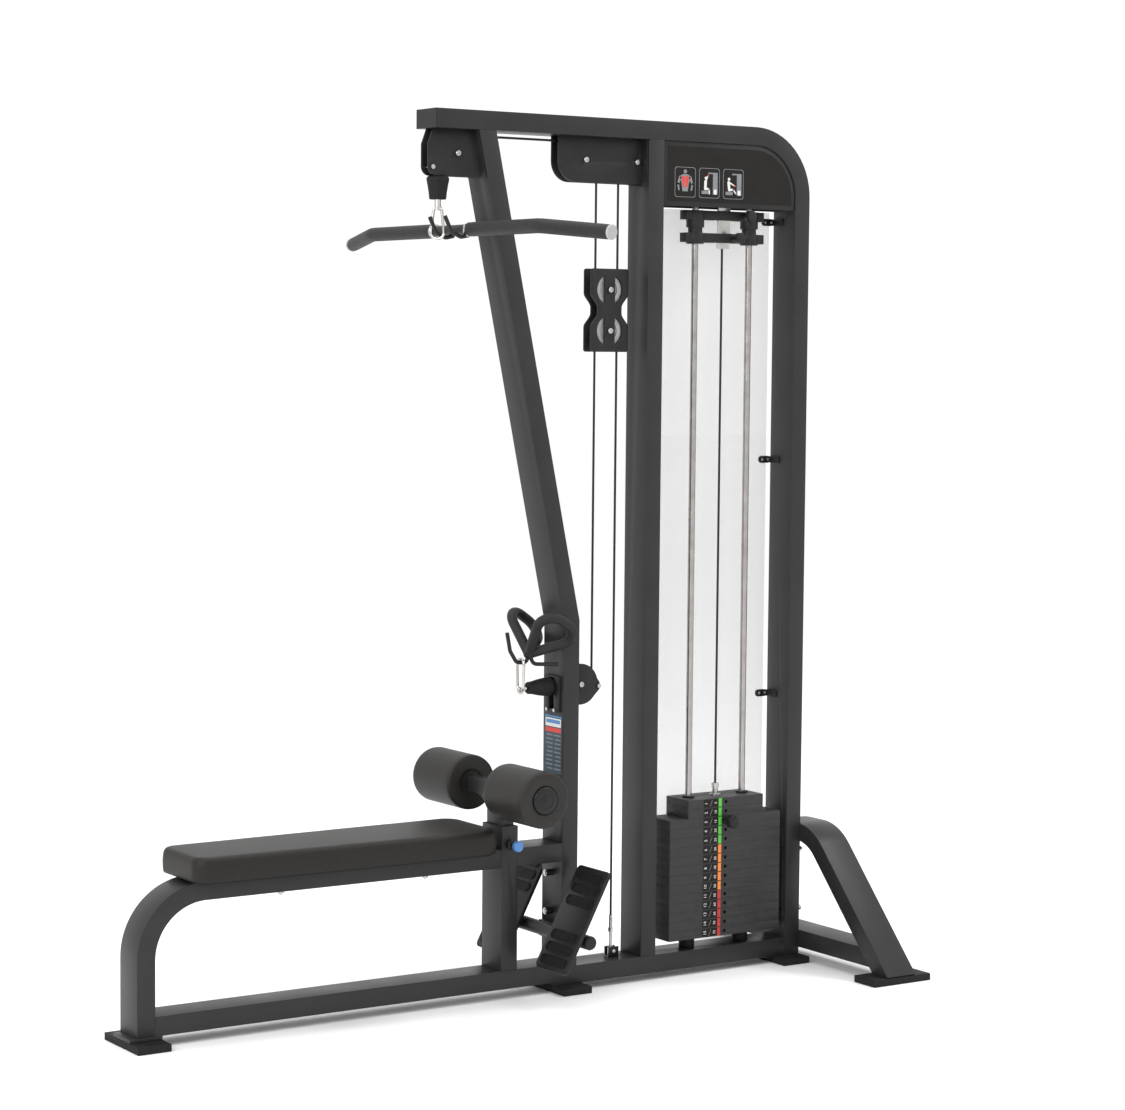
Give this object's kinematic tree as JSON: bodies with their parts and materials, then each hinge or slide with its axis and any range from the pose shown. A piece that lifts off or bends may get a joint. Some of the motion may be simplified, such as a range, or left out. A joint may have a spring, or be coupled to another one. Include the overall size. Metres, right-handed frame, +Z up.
{
  "type": "seated cable row machine",
  "caption": "Seated cable row with a padded bench, a lat pulldown bar and one pin-selected weight stack on guide rods.",
  "frame": {"origin": "on the floor at the middle of the footprint, in the machine's middle plane", "axes": "+X from the bench end to the weight stack end, +Y to the machine's left seen from the seat, +Z up"},
  "size_m": [2.247, 1.3128, 2.364],
  "materials": {
    "frame_paint": "satin powder coat",
    "bracket_paint": "satin powder coat",
    "plate_paint": "textured powder coat",
    "steel": "zinc plated",
    "bright_steel": "polished",
    "pulley_nylon": "moulded nylon",
    "rubber": "matt",
    "cable_coat": "smooth coating",
    "vinyl": "upholstery vinyl",
    "cover_sheet": "satin sheet",
    "clear_sheet": "clear sheet",
    "blue_knob": "moulded",
    "black_plastic": "moulded",
    "board": "painted plywood"
  },
  "bodies": {
    "frame": {"base_rails": "frame_paint", "bench_frame": "frame_paint", "bench_post": "frame_paint", "bench_link": "frame_paint", "front_post": "frame_paint", "main_arch": "frame_paint", "mid_upright": "frame_paint", "stabiliser": "frame_paint", "foot_pads": "rubber", "seat_board": "board", "seat_pad": "vinyl", "frame_fasteners": "steel", "footrest_tube": "frame_paint", "footplates": "bracket_paint", "footplate_treads": "rubber", "pop_pin_barrel": "bracket_paint", "high_pulley_bracket": "bracket_paint", "transfer_bracket": "bracket_paint", "stack_pulley_bracket": "steel", "low_pulley_housing": "bracket_paint", "pulley_axles": "steel", "guide_rods": "bright_steel", "rod_buffers": "steel", "weight_plates": "plate_paint", "side_covers": "cover_sheet", "rear_shield": "clear_sheet", "shield_clips": "black_plastic", "cable_anchor": "steel", "end_caps": "black_plastic", "cable_fixed_runs": "cable_coat", "cable_lat_drop": "cable_coat", "cable_row_pull": "cable_coat", "cable_block_runs": "cable_coat", "cable_stack_drop": "cable_coat"},
    "row_slider": {"row_stop": "rubber"},
    "row_grip": {"row_carabiner": "bright_steel", "row_handle": "rubber"},
    "lifted_stack": {"lifted_plates": "plate_paint", "stack_bushes": "black_plastic", "selector_stem": "steel"},
    "pin_body": {"selector_pin": "black_plastic"},
    "pulley_block": {"block_plates": "bracket_paint", "block_bolts": "steel", "block_cable_turns": "cable_coat"},
    "block_upper": {"block_upper_pulley": "pulley_nylon"},
    "block_lower": {"block_lower_pulley": "pulley_nylon"},
    "low_wheel": {"low_pulley": "pulley_nylon"},
    "guide_wheel": {"guide_roller": "pulley_nylon"},
    "rear_transfer_wheel": {"rear_transfer_pulley": "pulley_nylon"},
    "stack_wheel": {"stack_pulley": "pulley_nylon"},
    "lat_slider": {"lat_stop": "rubber"},
    "lat_grip": {"lat_carabiner": "bright_steel", "lat_bar": "rubber"},
    "high_wheel": {"high_pulley": "pulley_nylon"},
    "front_transfer_wheel": {"front_transfer_pulley": "pulley_nylon"},
    "roller_carriage": {"roller_post": "steel"},
    "left_roller": {"foam_roller_left": "vinyl"},
    "right_roller": {"foam_roller_right": "vinyl"},
    "pop_pin": {"pop_pin_plunger": "blue_knob"},
    "increment": {"increment_weights": "bracket_paint"}
  },
  "joints": [
    {"name": "row_pull", "type": "slide", "parent": "frame", "child": "row_slider", "axis": [-1, 0, 0], "range_m": [0, 0.9], "deforming": ["cable_row_pull"]},
    {"name": "stack_lift", "type": "slide", "parent": "frame", "child": "lifted_stack", "axis": [0, 0, 1], "range_m": [0, 0.9], "deforming": ["cable_stack_drop"]},
    {"name": "block_drop", "type": "slide", "parent": "frame", "child": "pulley_block", "axis": [0, 0, -1], "range_m": [0, 0.45], "deforming": ["cable_block_runs"]},
    {"name": "lat_pull", "type": "slide", "parent": "frame", "child": "lat_slider", "axis": [0, 0, -1], "range_m": [0, 1.1], "stiffness_N_per_m": 50, "springref_m": -4, "deforming": ["cable_lat_drop"]},
    {"name": "row_handle_swing", "type": "hinge", "parent": "row_slider", "child": "row_grip", "pos_m": [0.048, 0, 0.826], "axis": [0, 1, 0], "range_deg": [-85, 0]},
    {"name": "lat_swivel", "type": "hinge", "parent": "lat_slider", "child": "lat_grip", "pos_m": [-0.22, 0, 2.112], "axis": [0, 0, 1], "range_deg": [-40, 40]},
    {"name": "selector_pin_pull", "type": "slide", "parent": "lifted_stack", "child": "pin_body", "axis": [0, -1, 0], "range_m": [0, 0.09]},
    {"name": "roller_height", "type": "slide", "parent": "frame", "child": "roller_carriage", "axis": [0, 0, 1], "range_m": [0, 0.12]},
    {"name": "pop_pin_pull", "type": "slide", "parent": "frame", "child": "pop_pin", "axis": [0, -1, 0], "range_m": [0, 0.012], "stiffness_N_per_m": 1500},
    {"name": "left_roller_spin", "type": "hinge", "parent": "roller_carriage", "child": "left_roller", "pos_m": [-0.05, 0.183, 0.573], "axis": [0, 1, 0], "continuous": true},
    {"name": "right_roller_spin", "type": "hinge", "parent": "roller_carriage", "child": "right_roller", "pos_m": [-0.05, -0.183, 0.573], "axis": [0, 1, 0], "continuous": true},
    {"name": "increment_drop", "type": "slide", "parent": "frame", "child": "increment", "axis": [0, 0, -1], "range_m": [0, 0.6]},
    {"name": "low_pulley_spin", "type": "hinge", "parent": "frame", "child": "low_wheel", "pos_m": [0.23, 0, 0.835], "axis": [0, 1, 0], "continuous": true},
    {"name": "guide_roller_spin", "type": "hinge", "parent": "frame", "child": "guide_wheel", "pos_m": [0.16, 0, 0.824], "axis": [0, 1, 0], "continuous": true},
    {"name": "rear_transfer_spin", "type": "hinge", "parent": "frame", "child": "rear_transfer_wheel", "pos_m": [0.398, 0, 2.252], "axis": [0, 1, 0], "continuous": true},
    {"name": "stack_pulley_spin", "type": "hinge", "parent": "frame", "child": "stack_wheel", "pos_m": [0.655, 0, 2.252], "axis": [0, 1, 0], "continuous": true},
    {"name": "block_upper_spin", "type": "hinge", "parent": "pulley_block", "child": "block_upper", "pos_m": [0.314, 0, 1.9055], "axis": [0, 1, 0], "continuous": true},
    {"name": "block_lower_spin", "type": "hinge", "parent": "pulley_block", "child": "block_lower", "pos_m": [0.314, 0, 1.7945], "axis": [0, 1, 0], "continuous": true},
    {"name": "high_pulley_spin", "type": "hinge", "parent": "frame", "child": "high_wheel", "pos_m": [-0.172, 0, 2.252], "axis": [0, 1, 0], "continuous": true},
    {"name": "front_transfer_spin", "type": "hinge", "parent": "frame", "child": "front_transfer_wheel", "pos_m": [0.23, 0, 2.252], "axis": [0, 1, 0], "continuous": true}
  ],
  "couplings": [
    {"joint": "row_pull", "follows": "stack_lift", "ratio": 1},
    {"joint": "block_drop", "follows": "stack_lift", "ratio": 0.5},
    {"joint": "low_pulley_spin", "follows": "stack_lift", "rad_per_m": -20.833},
    {"joint": "guide_roller_spin", "follows": "stack_lift", "rad_per_m": -125},
    {"joint": "rear_transfer_spin", "follows": "stack_lift", "rad_per_m": -20.833},
    {"joint": "stack_pulley_spin", "follows": "stack_lift", "rad_per_m": -20.833},
    {"joint": "block_upper_spin", "follows": "stack_lift", "rad_per_m": 13.889},
    {"joint": "block_lower_spin", "follows": "stack_lift", "rad_per_m": -13.889},
    {"joint": "high_pulley_spin", "follows": "lat_pull", "rad_per_m": -20.833},
    {"joint": "front_transfer_spin", "follows": "lat_pull", "rad_per_m": -20.833}
  ]
}
